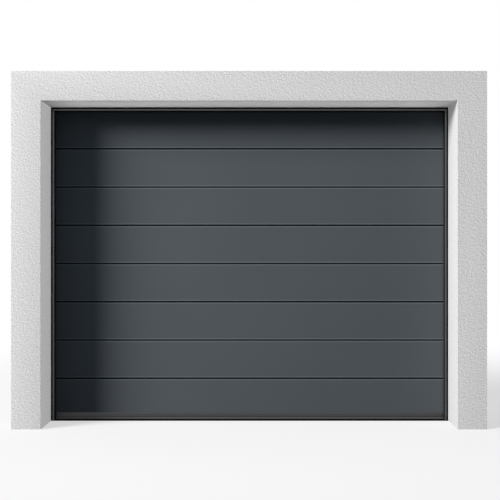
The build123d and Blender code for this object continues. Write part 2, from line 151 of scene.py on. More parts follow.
def rendered_masonry():
    """White mineral render, thrown on: dull and pitted in front, and floated smoother on every other side.

    The real grain is 2 to 3 mm. It is drawn about 4 by 11 mm and leaning, because a picture with more than
    6 mm to a pixel would not show it finer. The floated sides are smoother, with less grain, and their
    darker grey is painted shade.
    """
    made, tree, shader, where = new_material(
        "rendered_masonry", {"Roughness": 0.95, "Specular IOR Level": 0.1}
    )
    leaning = add(
        tree, "ShaderNodeVectorRotate", {"rotation_type": "Y_AXIS"}, {"Vector": where, "Angle": grain_lean}
    )
    drawn_out = add(tree, "ShaderNodeVectorMath", {"operation": "MULTIPLY"}, {0: leaning, 1: grain_stretch})
    grain = add(
        tree,
        "ShaderNodeTexNoise",
        None,
        {"Vector": drawn_out, "Scale": per_metre(grain_size), "Detail": 2, "Roughness": 0.55},
    )
    geometry = add(tree, "ShaderNodeNewGeometry")
    facing = add(tree, "ShaderNodeSeparateXYZ", None, {0: geometry.outputs["True Normal"]})
    front = add(
        tree,
        "ShaderNodeMath",
        {"operation": "MULTIPLY", "use_clamp": True},
        {0: facing.outputs["Y"], 1: -1.0},
    )
    roughcast = add(
        tree, "ShaderNodeMapRange", None, {"Value": front, "To Min": floated_grain, "To Max": 1.0}
    )
    shade = add(
        tree,
        "ShaderNodeMapRange",
        None,
        {"Value": grain, "From Min": grain_darkest, "From Max": grain_lightest},
    )
    speckle = add(
        tree,
        "ShaderNodeMix",
        {"data_type": "RGBA"},
        {"Factor": shade.outputs[0], "A": linear("#B1B1B1"), "B": linear("#EAEAEA")},
    )
    # Painted shade: every face but the front gets the darker grey #B4B4B4, with a little of the speckle
    floated = add(
        tree,
        "ShaderNodeMix",
        {"data_type": "RGBA"},
        {"Factor": roughcast.outputs[0], "A": linear("#B4B4B4"), "B": speckle.outputs["Result"]},
    )
    bump = add(
        tree,
        "ShaderNodeBump",
        None,
        {"Height": grain, "Distance": grain_depth, "Strength": roughcast.outputs[0]},
    )
    feed(tree, shader, {"Base Color": floated.outputs["Result"], "Normal": bump.outputs[0]})
    return made


# Leaf: its lines' heights, then how far from a line's middle its edge and the painted highlight on the lip
# beside it reach, and how deep behind the face the painted shade in the folds begins and is full
leaf_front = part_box("top_section")[0].y
leaf_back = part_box("top_section")[1].y
leaf_middle = (leaf_front + leaf_back) / 2
lowest_line_z = 0.025
line_pitch = 0.26075
line_core = 4 * MM
line_edge = 4.3 * MM
lip_highlight_reach = 12 * MM
lip_highlight_end = 14 * MM
darkening_from = 0.25 * MM
darkest_from = 0.7 * MM


def band(tree, value, start, peak_from, peak_to, end):
    """One between two values, fading to zero outside them."""
    rise = add(tree, "ShaderNodeMapRange", None, {"Value": value, "From Min": start, "From Max": peak_from})
    fall = add(tree, "ShaderNodeMapRange", None, {"Value": value, "From Min": end, "From Max": peak_to})
    return add(tree, "ShaderNodeMath", {"operation": "MULTIPLY"}, {0: rise.outputs[0], 1: fall.outputs[0]})


def coated_leaf_steel():
    """Coil-coated steel sheet: smooth matt anthracite outside, stucco-embossed grey white inside.

    Behind its face, up to its middle, and within each line's edge, the sheet is painted nearly black:
    painted shade in the folds and ribs. Beside each line it is painted a little paler: a painted highlight
    on the lip.
    """
    made, tree, shader, where = new_material(
        "coated_leaf_steel", {"Roughness": 0.5, "Specular IOR Level": 0.03}
    )
    place = add(tree, "ShaderNodeSeparateXYZ", None, {0: where})
    inside = add(
        tree, "ShaderNodeMath", {"operation": "GREATER_THAN"}, {0: place.outputs["Y"], 1: leaf_middle}
    )
    clouds = add(tree, "ShaderNodeTexNoise", None, {"Vector": where, "Scale": per_metre(700), "Detail": 2})
    sheet = add(
        tree,
        "ShaderNodeMix",
        {"data_type": "RGBA"},
        {"Factor": clouds, "A": linear("#4E5256"), "B": linear("#52565A")},
    )
    above_line = add(
        tree, "ShaderNodeMath", {"operation": "SUBTRACT"}, {0: place.outputs["Z"], 1: lowest_line_z}
    )
    from_line = add(tree, "ShaderNodeMath", {"operation": "PINGPONG"}, {0: above_line, 1: line_pitch / 2})
    # Painted highlight: the sheet a little paler (#5D6367) on each line's lip
    lip_highlight_share = band(tree, from_line, line_core, line_edge, lip_highlight_reach, lip_highlight_end)
    sheet_with_highlight = add(
        tree,
        "ShaderNodeMix",
        {"data_type": "RGBA"},
        {"Factor": lip_highlight_share, "A": sheet.outputs["Result"], "B": linear("#5D6367")},
    )
    # Painted shade: near black (#040506) within each line's edge, and deeper than darkening_from behind the
    # face
    fold_shade_band = add(tree, "ShaderNodeMath", {"operation": "LESS_THAN"}, {0: from_line, 1: line_edge})
    depth = add(
        tree,
        "ShaderNodeMapRange",
        None,
        {
            "Value": place.outputs["Y"],
            "From Min": leaf_front + darkening_from,
            "From Max": leaf_front + darkest_from,
        },
    )
    dark = add(tree, "ShaderNodeMath", {"operation": "MAXIMUM"}, {0: depth.outputs[0], 1: fold_shade_band})
    outside_colour = add(
        tree,
        "ShaderNodeMix",
        {"data_type": "RGBA"},
        {"Factor": dark, "A": sheet_with_highlight.outputs["Result"], "B": linear("#040506")},
    )
    colour = add(
        tree,
        "ShaderNodeMix",
        {"data_type": "RGBA"},
        {"Factor": inside, "A": outside_colour.outputs["Result"], "B": linear("#D3D5D2")},
    )
    peel = add(tree, "ShaderNodeTexNoise", None, {"Vector": where, "Scale": per_metre(5), "Detail": 1})
    stucco = add(
        tree,
        "ShaderNodeTexVoronoi",
        {"feature": "SMOOTH_F1"},
        {"Vector": where, "Scale": per_metre(9), "Smoothness": 0.8},
    )
    relief = add(tree, "ShaderNodeMix", {"data_type": "FLOAT"}, {"Factor": inside, "A": peel, "B": stucco})
    strength = add(tree, "ShaderNodeMapRange", None, {"Value": inside, "To Min": 0.05, "To Max": 0.5})
    bump = add(
        tree,
        "ShaderNodeBump",
        None,
        {"Height": relief.outputs["Result"], "Distance": 0.8 * MM, "Strength": strength.outputs[0]},
    )
    feed(tree, shader, {"Base Color": colour.outputs["Result"], "Normal": bump.outputs[0]})
    return made


def powder_coat(name, light_colour, dark_colour, roughness):
    """A baked powder coat on steel: half matt, faintly clouded, with the slight orange peel of the spray."""
    made, tree, shader, where = new_material(name, {"Roughness": roughness, "Specular IOR Level": 0.25})
    clouds = add(tree, "ShaderNodeTexNoise", None, {"Vector": where, "Scale": per_metre(120), "Detail": 3})
    colour = add(
        tree,
        "ShaderNodeMix",
        {"data_type": "RGBA"},
        {"Factor": clouds, "A": linear(dark_colour), "B": linear(light_colour)},
    )
    peel = add(tree, "ShaderNodeTexNoise", None, {"Vector": where, "Scale": per_metre(6), "Detail": 1})
    bump = add(tree, "ShaderNodeBump", None, {"Height": peel, "Distance": 0.3 * MM, "Strength": 0.15})
    feed(tree, shader, {"Base Color": colour.outputs["Result"], "Normal": bump.outputs[0]})
    return made


# Bottom profile: the colour of its lip, face and upper edge, and the heights in millimetres between which
# each fades in and fades out again. The paler lip and upper edge are painted highlight
profile_band_colours = (
    ("#404040", 7.5, 8.5, 21, 22),
    ("#242424", 25.5, 26, 46, 48),
    ("#4C4C4C", 46, 48, 53, 54),
)


def bottom_extrusion():
    """Extruded aluminium with a baked coat: a dark face between a paler upper edge and a paler lip.

    Its skin is faintly uneven, and shines a little more than the steel above. The paler upper edge and lip
    are painted highlight, and the near black line between lip and face is painted shade.
    """
    made, tree, shader, where = new_material(
        "coated_aluminium_extrusion", {"Roughness": 0.4, "Specular IOR Level": 0.6}
    )
    height = add(tree, "ShaderNodeSeparateXYZ", None, {0: where}).outputs["Z"]
    # Painted shade: near black (#0A0A0A) wherever no band lies, as in the line between lip and face
    colour = linear("#0A0A0A")
    for shade, *heights in profile_band_colours:
        share = band(tree, height, *[h * MM for h in heights])
        colour = add(
            tree,
            "ShaderNodeMix",
            {"data_type": "RGBA"},
            {"Factor": share, "A": colour, "B": linear(shade)},
        ).outputs["Result"]
    drawn = add(tree, "ShaderNodeTexNoise", None, {"Vector": where, "Scale": per_metre(3), "Detail": 2})
    bump = add(tree, "ShaderNodeBump", None, {"Height": drawn, "Distance": 0.2 * MM, "Strength": 0.15})
    feed(tree, shader, {"Base Color": colour, "Normal": bump.outputs[0]})
    return made


def extruded_rubber(name, light_colour, dark_colour):
    """Extruded EPDM rubber: matt, with faint unevenness and a slight grey bloom."""
    made, tree, shader, where = new_material(name, {"Roughness": 0.85, "Specular IOR Level": 0.05})
    bloom = add(tree, "ShaderNodeTexNoise", None, {"Vector": where, "Scale": per_metre(60), "Detail": 4})
    colour = add(
        tree,
        "ShaderNodeMix",
        {"data_type": "RGBA"},
        {"Factor": bloom, "A": linear(dark_colour), "B": linear(light_colour)},
    )
    bump = add(tree, "ShaderNodeBump", None, {"Height": bloom, "Distance": 0.4 * MM, "Strength": 0.2})
    feed(tree, shader, {"Base Color": colour.outputs["Result"], "Normal": bump.outputs[0]})
    return made


def galvanised_steel():
    """Hot-dipped zinc: pale grey metal whose crystals, 12 mm across, differ a little in shine."""
    made, tree, shader, where = new_material("galvanised_steel", {"Metallic": 1.0})
    crystals = add(
        tree, "ShaderNodeTexVoronoi", None, {"Vector": where, "Scale": per_metre(12), "Randomness": 1.0}
    )
    shine = add(tree, "ShaderNodeSeparateColor", None, {0: crystals.outputs["Color"]})
    colour = add(
        tree,
        "ShaderNodeMix",
        {"data_type": "RGBA"},
        {"Factor": shine.outputs["Red"], "A": linear("#8E9396"), "B": linear("#AEB3B6")},
    )
    roughness = add(
        tree,
        "ShaderNodeMapRange",
        None,
        {"Value": shine.outputs["Green"], "To Min": 0.44, "To Max": 0.6},
    )
    film = add(tree, "ShaderNodeTexNoise", None, {"Vector": where, "Scale": per_metre(4), "Detail": 2})
    bump = add(tree, "ShaderNodeBump", None, {"Height": film, "Distance": 0.2 * MM, "Strength": 0.2})
    feed(tree, shader, {"Base Color": colour.outputs["Result"], "Normal": bump.outputs[0]})
    feed(tree, shader, {"Roughness": roughness.outputs[0]})
    return made


def plain_metal(name, light_colour, dark_colour, roughness, grain, depth):
    """Bare metal with a cast or drawn skin: lighter and darker patches, whose size and depth are in mm."""
    made, tree, shader, where = new_material(name, {"Metallic": 1.0, "Roughness": roughness})
    skin = add(tree, "ShaderNodeTexNoise", None, {"Vector": where, "Scale": per_metre(grain), "Detail": 4})
    colour = add(
        tree,
        "ShaderNodeMix",
        {"data_type": "RGBA"},
        {"Factor": skin, "A": linear(dark_colour), "B": linear(light_colour)},
    )
    bump = add(tree, "ShaderNodeBump", None, {"Height": skin, "Distance": depth * MM, "Strength": 0.4})
    feed(tree, shader, {"Base Color": colour.outputs["Result"], "Normal": bump.outputs[0]})
    return made


def moulded_nylon():
    """Injection-moulded nylon: milky, half matt, a little see-through at its edges."""
    made, tree, shader, where = new_material(
        "moulded_nylon",
        {"Roughness": 0.42, "IOR": 1.53, "Subsurface Weight": 0.15, "Subsurface Scale": 3 * MM},
    )
    flow = add(tree, "ShaderNodeTexNoise", None, {"Vector": where, "Scale": per_metre(15), "Detail": 2})
    colour = add(
        tree,
        "ShaderNodeMix",
        {"data_type": "RGBA"},
        {"Factor": flow, "A": linear("#D6D3C8"), "B": linear("#E6E4DC")},
    )
    feed(tree, shader, {"Base Color": colour.outputs["Result"]})
    return made


masonry = rendered_masonry()
leaf_steel = coated_leaf_steel()
profile_coat = bottom_extrusion()
zinc = galvanised_steel()
nylon = moulded_nylon()

# Powder-coated steel end caps: even grey white, like the leaf's inside but smoother
cap_coat = powder_coat("powder_coated_steel_grey_white", "#D6D8D5", "#CDCFCC", 0.5)

# Powder-coated steel frame: dull charcoal strips round the leaf
frame_coat = powder_coat("powder_coated_steel_charcoal", "#434343", "#3F3F3F", 0.5)

# Extruded EPDM of gasket and bottom seal: matt and nearly black
rubber = extruded_rubber("extruded_epdm_black", "#080808", "#030303")

# The same on the frame's lip, rubbed greyer by the leaf
lip_rubber = extruded_rubber("extruded_epdm_worn_grey", "#2C3033", "#24272A")

# Oiled spring steel: dark, with a sheen that follows each coil
spring_steel = plain_metal("oiled_spring_steel", "#4A4B4D", "#2E2F30", 0.38, 30, 0.1)

# Drawn galvanised wire: pale, with bright lines along the strands
wire_steel = plain_metal("drawn_galvanised_wire", "#A9ABAC", "#86888A", 0.35, 5, 0.05)

# Cast iron plugs: dull grey with a coarse skin
cast_iron = plain_metal("cast_iron", "#5A5B5C", "#434445", 0.6, 3, 0.4)

# Die-cast aluminium drums and rivets: pale, soft sheen, slightly mottled
cast_aluminium = plain_metal("die_cast_aluminium", "#C2C3C4", "#A9AAAB", 0.45, 4, 0.2)

# Zinc-plated steel screws and hubs: clean, bright and smooth
bolt_steel = plain_metal("zinc_plated_steel", "#C7C8C4", "#ABACA8", 0.3, 8, 0.05)

finishes = {
    "render": masonry,
    "leaf_coat": leaf_steel,
    "cap_coat": cap_coat,
    "profile_coat": profile_coat,
    "frame_coat": frame_coat,
    "black_rubber": rubber,
    "galvanised": zinc,
    "spring_steel": spring_steel,
    "cast_plugs": cast_iron,
    "cast_drum": cast_aluminium,
    "wire_rope": wire_steel,
    "nylon": nylon,
}

for entry in frame["record"]["subparts"]:
    mesh = nodes[entry["node"]].data
    mesh.materials.clear()
    mesh.materials.append(finishes[entry["material_slot"]])

# The lip seal on the frame is the greyer of the two rubbers
nodes["perimeter_seal"].data.materials[0] = lip_rubber


# Making meshes: points and faces are piled up, then become one piece. Faces that bend by fewer degrees than
# these are shaded smooth

smooth_bend = 35
smooth_casting = 40
smooth_wire = 80


def riding_piece(mesh, body, material, smooth_under=smooth_bend):
    """Makes a mesh into a piece that rides on its body."""
    mesh.materials.append(material)
    mesh.polygons.foreach_set("use_smooth", [True] * len(mesh.polygons))
    mesh.set_sharp_from_angle(angle=math.radians(smooth_under))
    made = bpy.data.objects.new(mesh.name, mesh)
    bpy.context.scene.collection.objects.link(made)
    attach(made, body)
    return made


class Pile:
    """Points and faces that end up in one mesh."""

    def __init__(self):
        self.points = []
        self.faces = []

    def add(self, points, faces):
        """Adds one closed shape."""
        start = len(self.points)
        self.points += points
        self.faces += [[start + i for i in face] for face in faces]

    def piece(self, name, body, material, slot, smooth_under=smooth_bend):
        """Makes the piece and lets it ride on its body."""
        mesh = bpy.data.meshes.new(name)
        mesh.from_pydata([tuple(p) for p in self.points], [], self.faces)
        return riding_piece(mesh, body, material, smooth_under)


def turned(profile, place, along, sides=24):
    """A turned shape about an axis. The profile is a list of (distance along the axis, radius)."""
    along = Vector(along).normalized()
    across = along.orthogonal().normalized()
    third = along.cross(across)
    points, rings = [], []
    for distance, radius in profile:
        middle = Vector(place) + along * distance
        count = sides if radius > 0 else 1
        rings.append([len(points) + k for k in range(count)])
        for k in range(count):
            turn = 2 * math.pi * k / sides
            points.append(middle + radius * (math.cos(turn) * across + math.sin(turn) * third))
    faces = []
    for low, high in zip(rings, rings[1:]):
        for k in range(sides):
            after = (k + 1) % sides
            if len(low) == 1:
                faces.append([low[0], high[after], high[k]])
            elif len(high) == 1:
                faces.append([low[k], low[after], high[0]])
            else:
                faces.append([low[k], low[after], high[after], high[k]])
    return points, faces


def carried_frames(line):
    """Each point of a line, with two directions across the line that are carried along without twist."""
    last = len(line) - 1
    normal = None
    for i, point in enumerate(line):
        tangent = (line[min(i + 1, last)] - line[max(i - 1, 0)]).normalized()
        normal = tangent.orthogonal() if normal is None else normal - tangent * normal.dot(tangent)
        normal.normalize()
        yield point, normal.copy(), tangent.cross(normal)


def tube(line, radius, sides=8):
    """A round bar along a line of points, closed at both ends."""
    points = []
    for point, normal, side in carried_frames(line):
        for k in range(sides):
            turn = 2 * math.pi * k / sides
            points.append(point + radius * (math.cos(turn) * normal + math.sin(turn) * side))
    faces = [list(range(sides))[::-1], list(range(len(points) - sides, len(points)))]
    for i in range(len(line) - 1):
        for k in range(sides):
            after = (k + 1) % sides
            faces.append([i * sides + k, i * sides + after, (i + 1) * sides + after, (i + 1) * sides + k])
    return points, faces


def bolt(pile, place, outward, size):
    """A hexagon head on a round washer, standing on a face. Its size is the thread's diameter."""
    washer, thick, head, bevel = 1.05 * size, 0.18 * size, 0.6 * size, 0.06 * size
    hexagon = 0.93 * size
    pile.add(
        *turned(
            [(0, 0), (0, washer), (thick - bevel, washer), (thick, washer - bevel), (thick, 0)],
            place,
            outward,
        )
    )
    top = thick + head
    pile.add(
        *turned(
            [
                (thick / 2, 0),
                (thick / 2, hexagon),
                (top - bevel, hexagon),
                (top, hexagon - 2 * bevel),
                (top, 0),
            ],
            place,
            outward,
            sides=6,
        )
    )


def rivet(pile, place, outward, radius):
    """A blind rivet's low domed head."""
    pile.add(
        *turned(
            [
                (0, 0),
                (0, radius),
                (0.3 * radius, 0.9 * radius),
                (0.5 * radius, 0.55 * radius),
                (0.55 * radius, 0),
            ],
            place,
            outward,
            sides=16,
        )
    )


def set_screw(pile, place, outward):
    """A square-headed set screw standing out of a round plug."""
    pile.add(
        *turned(
            [(-4 * MM, 0), (-4 * MM, 5.5 * MM), (7 * MM, 5.5 * MM), (8 * MM, 4.5 * MM), (8 * MM, 0)],
            place,
            outward,
            sides=4,
        )
    )


# The wall as one skin of render over jambs and lintel, with rounded arrises

arris_radius = 2.5 * MM
slack = 1 * MM


def wall_skin():
    """The rendered portal, without a seam between its jambs and its lintel."""
    low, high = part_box("wall_lintel")
    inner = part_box("wall_jamb_right")[0].x
    outline = [
        (low.x, 0),
        (low.x, high.z),
        (high.x, high.z),
        (high.x, 0),
        (inner, 0),
        (inner, low.z),
        (-inner, low.z),
        (-inner, 0),
    ]
    bm = bmesh.new()
    front = bm.faces.new([bm.verts.new((x, low.y, z)) for x, z in outline])
    back = bmesh.ops.extrude_face_region(bm, geom=[front])["geom"]
    shift = Vector((0, high.y - low.y, 0))
    bmesh.ops.translate(bm, vec=shift, verts=[v for v in back if isinstance(v, bmesh.types.BMVert)])
    bmesh.ops.recalc_face_normals(bm, faces=bm.faces)
    beside_opening = [v for v in bm.verts if abs(v.co.x) < inner + slack and v.co.z < low.z + slack]
    arrises = [
        e
        for e in bm.edges
        if all(v in beside_opening for v in e.verts) and any(v.co.z > slack for v in e.verts)
    ]
    bmesh.ops.bevel(bm, geom=arrises, offset=arris_radius, segments=3, profile=0.5, affect="EDGES")
    mesh = bpy.data.meshes.new("wall_render")
    bm.to_mesh(mesh)
    bm.free()
    made = riding_piece(mesh, "frame", masonry)
    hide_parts("wall_jamb_left", "wall_jamb_right", "wall_lintel")
    return made


wall = wall_skin()


# Torsion springs: close coils of 6 mm wire

spring_wire = 6 * MM
spring_pitch = 6.1 * MM
coil_steps = 24


def spring_coils(side, hand):
    """One close-wound spring, left or right handed."""
    low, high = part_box(f"torsion_spring_{side}")
    middle = (low + high) / 2
    radius = (high.z - low.z) / 2 - spring_wire / 2
    travel = high.x - low.x - spring_wire
    turns = travel / spring_pitch
    line = []
    for i in range(int(turns * coil_steps) + 1):
        turn = 2 * math.pi * i / coil_steps
        x = low.x + spring_wire / 2 + spring_pitch * i / coil_steps
        line.append(
            Vector((x, middle.y + radius * math.cos(hand * turn), middle.z + radius * math.sin(hand * turn)))
        )
    pile = Pile()
    pile.add(*tube(line, spring_wire / 2))
    made = pile.piece(f"spring_coils_{side}", "frame", spring_steel, "spring_steel", smooth_wire)
    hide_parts(f"torsion_spring_{side}")


spring_coils("left", 1)
spring_coils("right", -1)


# Lift cables: six strands laid together, straight from ferrule to drum and then round the drum

rope_radius = 2 * MM
strand_radius = 0.72 * MM
strand_offset = 1.25 * MM
lay_length = 28 * MM
steps_per_lay = 8
strands = 6
strand_sides = 5

shaft_low, shaft_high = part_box("spring_shaft")
shaft_y = (shaft_low.y + shaft_high.y) / 2
shaft_z = (shaft_low.z + shaft_high.z) / 2
cable_low, cable_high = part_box("lift_cables")
cable_x = cable_high.x - rope_radius
cable_y = (cable_low.y + cable_high.y) / 2
drum_low, drum_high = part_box("cable_drums")
wrap_radius = shaft_y - cable_y


def rope(pile, line):
    """Adds the rope's strands along a line of points."""
    length = 0.0
    along = [0.0]
    for before, after in zip(line, line[1:]):
        length += (after - before).length
        along.append(length)
    for k in range(strands):
        strand = []
        for (point, normal, side), distance in zip(carried_frames(line), along):
            turn = 2 * math.pi * (distance / lay_length + k / strands)
            strand.append(point + strand_offset * (math.cos(turn) * normal + math.sin(turn) * side))
        pile.add(*tube(strand, strand_radius, strand_sides))


def lift_ropes():
    """The straight run on both sides. The real run gets shorter as the door opens; this one keeps one
    length.
    """
    pile = Pile()
    height = cable_high.z - cable_low.z
    steps = int(height / lay_length * steps_per_lay)
    for side in (-1, 1):
        heights = [cable_low.z + height * i / steps for i in range(steps + 1)]
        rope(pile, [Vector((side * cable_x, cable_y, z)) for z in heights])
    made = pile.piece("wire_ropes", "frame", wire_steel, "wire_rope", smooth_wire)
    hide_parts("lift_cables")
    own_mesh(made)


lift_ropes()

# Drums: a flange against the cable's first turn, round grooves beside it, and a dished outer face

groove_pitch = 5.17 * MM
groove_turns = 6
groove_steps = 8
crest_height = 1.8 * MM
drum_bore = 12.7 * MM
drum_flange = 4 * MM
drum_face = 39 * MM
drum_whole_width = 45 * MM
drum_sides = 72
rope_turns = 4
steps_per_turn = 48


def drum_profile():
    """The drum's outline from the bore, out over the flange and grooves, and back: (distance, radius)."""
    rim = (drum_high.z - drum_low.z) / 2
    barrel = wrap_radius - rope_radius
    profile = [
        (0, drum_bore),
        (0, rim - 1.2 * MM),
        (1.2 * MM, rim),
        (drum_flange - 1 * MM, rim),
        (drum_flange, rim - 1 * MM),
    ]
    for turn in range(groove_turns):
        for step in range(groove_steps):
            across = (turn + step / groove_steps) * groove_pitch
            crest = crest_height * abs(math.cos(math.pi * step / groove_steps)) ** 1.5
            under_flange = turn == 0 and step < groove_steps / 2
            profile.append((drum_flange + across, barrel + (0.0 if under_flange else crest)))
    profile += [(drum_face - 1 * MM, barrel + 1 * MM), (drum_face, barrel)]
    dish_and_hub = [(0, 38), (-9, 35), (-9, 23), (-2, 20), (5.2, 20), (6, 19)]
    profile += [(drum_face + beyond * MM, radius * MM) for beyond, radius in dish_and_hub]
    return profile + [(drum_face + 6 * MM, drum_bore), (0, drum_bore)]


def drums():
    """Both drums, with the turns of rope that lie on them."""
    barrels, turns = Pile(), Pile()
    inner_x = drum_high.x - drum_whole_width
    for side in (-1, 1):
        middle = Vector((side * inner_x, shaft_y, shaft_z))
        barrels.add(*turned(drum_profile(), middle, (side, 0, 0), drum_sides))
        line = []
        for i in range(rope_turns * steps_per_turn + 1):
            turn = 2 * math.pi * i / steps_per_turn
            x = side * (cable_x + groove_pitch * turn / (2 * math.pi))
            y = shaft_y - wrap_radius * math.cos(turn)
            line.append(Vector((x, y, shaft_z + wrap_radius * math.sin(turn))))
        rope(turns, line)
    made = barrels.piece("grooved_drums", "frame", cast_aluminium, "cast_drum", smooth_casting)
    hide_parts("cable_drums")
    turns.piece("drum_rope_turns", "frame", wire_steel, "wire_rope", smooth_wire)


drums()

# Rollers: a crowned nylon tyre on a steel hub, turning on the hinge's pin. The profiles are in millimetres

roller_width = 16 * MM
tyre_profile = [
    (2.5, 9.5), (2.5, 15.5), (0.4, 17.0), (0.0, 18.0), (0.0, 20.2), (0.5, 21.4), (1.8, 22.0),
    (6.2, 22.0), (7.0, 21.2), (9.0, 21.2), (9.8, 22.0),
    (14.2, 22.0), (15.5, 21.4), (16.0, 20.2), (16.0, 18.0), (15.6, 17.0), (13.5, 15.5),
    (13.5, 9.5), (2.5, 9.5),
]
hub_profile = [
    (0.6, 5.15), (0.6, 8.4), (1.2, 9.5), (14.8, 9.5), (15.4, 8.4), (15.4, 5.15), (0.6, 5.15),
]


def rollers(node, body, heights):
    """The rollers of one body, on both sides."""
    low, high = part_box(node)
    y = (low.y + high.y) / 2
    tyres, hubs = Pile(), Pile()
    for z in heights:
        for side in (-1, 1):
            place = (side * (high.x - roller_width), y, z)
            for pile, profile, sides in ((tyres, tyre_profile, 48), (hubs, hub_profile, 32)):
                pile.add(*turned([(d * MM, r * MM) for d, r in profile], place, (side, 0, 0), sides))
    tyre_piece = tyres.piece(f"{node}_tyres", body, nylon, "nylon")
    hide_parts(node)
    hubs.piece(f"{node}_hubs", body, bolt_steel, "galvanised")


hinge_heights = (0.5465, 1.068, 1.5895)
bottom_roller_z = 0.110
top_roller_z = 2.101
rollers("leaf_rollers", "leaf", [bottom_roller_z, *hinge_heights])
rollers("top_rollers", "top_panel", [top_roller_z])

# Screws, bolts and rivets: hexagon heads on washers hold hinges, brackets, tracks and frame, and rivets hold
# the end caps

small_screw = 6 * MM
large_bolt = 8 * MM
rivet_radius = 3.2 * MM

# The faces that they stand on: hinge plates, the frame's wall plate and flange, and the rails' outer face
hinge_back = 0.2965
plate_back = 0.243
flange_face = 1.395
rail_face = 1.3945

inward, outward_x = (0, 1, 0), (1, 0, 0)


def both_sides(pile, x, y, z, outward, size):
    """A bolt and its mirror image across the door."""
    for side in (-1, 1):
        bolt(pile, (side * x, y, z), (side * outward[0], outward[1], outward[2]), size)


leaf_bolts, top_bolts, frame_bolts = Pile(), Pile(), Pile()
leaf_rivets, top_rivets, plug_screws = Pile(), Pile(), Pile()

# Hinges: three screws in the lower plate and four in the upper flap. The highest flaps belong to the top
# section
hinge_columns = (1.290, 0.450)
screw_shifts = (-0.021, 0.021)
flap_widening = 1.1
for z in hinge_heights:
    above = top_bolts if z == hinge_heights[-1] else leaf_bolts
    for x in hinge_columns:
        both_sides(leaf_bolts, x, hinge_back, z - 0.030, inward, small_screw)
        for shift in screw_shifts:
            both_sides(leaf_bolts, x + shift, hinge_back, z - 0.073, inward, small_screw)
            for rise in (0.033, 0.075):
                both_sides(above, x + shift * flap_widening, hinge_back, z + rise, inward, small_screw)

# Corner brackets below and top roller brackets: four screws each
for pile, heights in ((leaf_bolts, (0.086, 0.169)), (top_bolts, (2.042, 2.125))):
    for z in heights:
        for x in (1.275, 1.325):
            both_sides(pile, x, hinge_back, z, inward, small_screw)

# The frame's bolts, row by row: their places, which way they stand out, and their size
frame_bolt_rows = (
    # side frames to the wall
    ([(1.366, plate_back, z) for z in (0.25, 0.80, 1.35, 1.78)], inward, large_bolt),
    # vertical tracks to the side frames' flanges
    ([(flange_face, 0.306, z) for z in (0.12, 0.65, 1.20, 1.72)], outward_x, small_screw),
    # plates that tie the curved tracks to the frame
    ([(flange_face, 0.357, z) for z in (1.845, 1.96, 2.15)], outward_x, large_bolt),
    ([(flange_face, 0.392, 2.06), (flange_face, 0.60, 2.13)], outward_x, large_bolt),
    ([(flange_face, 0.60, 2.235), (flange_face, 0.455, 2.245)], outward_x, large_bolt),
    # rails to the hangers
    ([(rail_face, y, z) for y in (1.505, 2.720) for z in (2.130, 2.2377)], outward_x, small_screw),
    # crossbar to the rails' ends
    ([(1.376, 2.7925, z) for z in (2.117, 2.143)], inward, small_screw),
    # head frame to the lintel
    ([(x, plate_back, 2.152) for x in (0.20, 0.60, 1.00, 1.28)], inward, small_screw),
    # the shaft's centre and end brackets to the wall
    ([(0.033, 0.244, 2.207), (1.422, plate_back, 2.207)], inward, large_bolt),
    ([(0.033, 0.244, 2.293), (1.422, plate_back, 2.293)], inward, large_bolt),
)
for places, outward, size in frame_bolt_rows:
    for place in places:
        both_sides(frame_bolts, *place, outward, size)

# Two set screws in each winding plug
plug_screw_x = 0.690
plug_radius = 30 * MM
for side in (-1, 1):
    for turn in (30, 120):
        up = Vector((0, math.cos(math.radians(turn)), math.sin(math.radians(turn))))
        set_screw(plug_screws, Vector((side * plug_screw_x, shaft_y, shaft_z)) + up * plug_radius, up)

# Rivets in the end caps, outside and behind, at a quarter, half and three quarters of each section's height
cap_x = 1.3415
cap_middle_y = 0.271
cap_inner_x = 1.283
cap_back = 0.2935
riveted_sections = (
    (leaf_rivets, 0.054, 0.544),
    (leaf_rivets, 0.549, 1.0655),
    (leaf_rivets, 1.0705, 1.587),
    (top_rivets, 1.592, 2.137),
)
for pile, low_z, high_z in riveted_sections:
    for share in (0.25, 0.5, 0.75):
        z = low_z + (high_z - low_z) * share
        for side in (-1, 1):
            rivet(pile, (side * cap_x, cap_middle_y, z), (side, 0, 0), rivet_radius)
            rivet(pile, (side * cap_inner_x, cap_back, z), (0, 1, 0), rivet_radius)

leaf_bolts.piece("leaf_screws", "leaf", bolt_steel, "galvanised")
top_bolts.piece("top_panel_screws", "top_panel", bolt_steel, "galvanised")
frame_bolts.piece("frame_bolts", "frame", bolt_steel, "galvanised")
plug_screws.piece("plug_set_screws", "frame", bolt_steel, "galvanised")
leaf_rivets.piece("leaf_cap_rivets", "leaf", cast_aluminium, "cap_coat")
top_rivets.piece("top_cap_rivets", "top_panel", cast_aluminium, "cap_coat")

# Worked edges: sheet metal and extrusions are never knife sharp, and their edges catch the light

edge_radii = {
    0.5 * MM: [
        "side_frame_left", "side_frame_right", "head_frame", "centre_bracket", "end_brackets",
        "ceiling_hangers", "rear_crossbar", "track_gussets", "bottom_brackets", "top_roller_brackets",
        "hinges_lower", "hinges_middle", "hinges_upper", "top_hinge_flaps",
    ],
    0.8 * MM: ["bottom_profile", "spring_plugs", "perimeter_seal"],
}
same_point = 0.01 * MM
rounded_from = math.radians(40)

for radius, names in edge_radii.items():
    for name in names:
        weld = nodes[name].modifiers.new("joined", "WELD")
        weld.merge_threshold = same_point
        rounding = nodes[name].modifiers.new("worked_edges", "BEVEL")
        rounding.width = radius
        rounding.segments = 2
        rounding.limit_method = "ANGLE"
        rounding.angle_limit = rounded_from
        rounding.harden_normals = True


# Stage: a pale floor that runs out into the white background, and soft light

white = "#FFFFFF"
world_ambient = 0.012

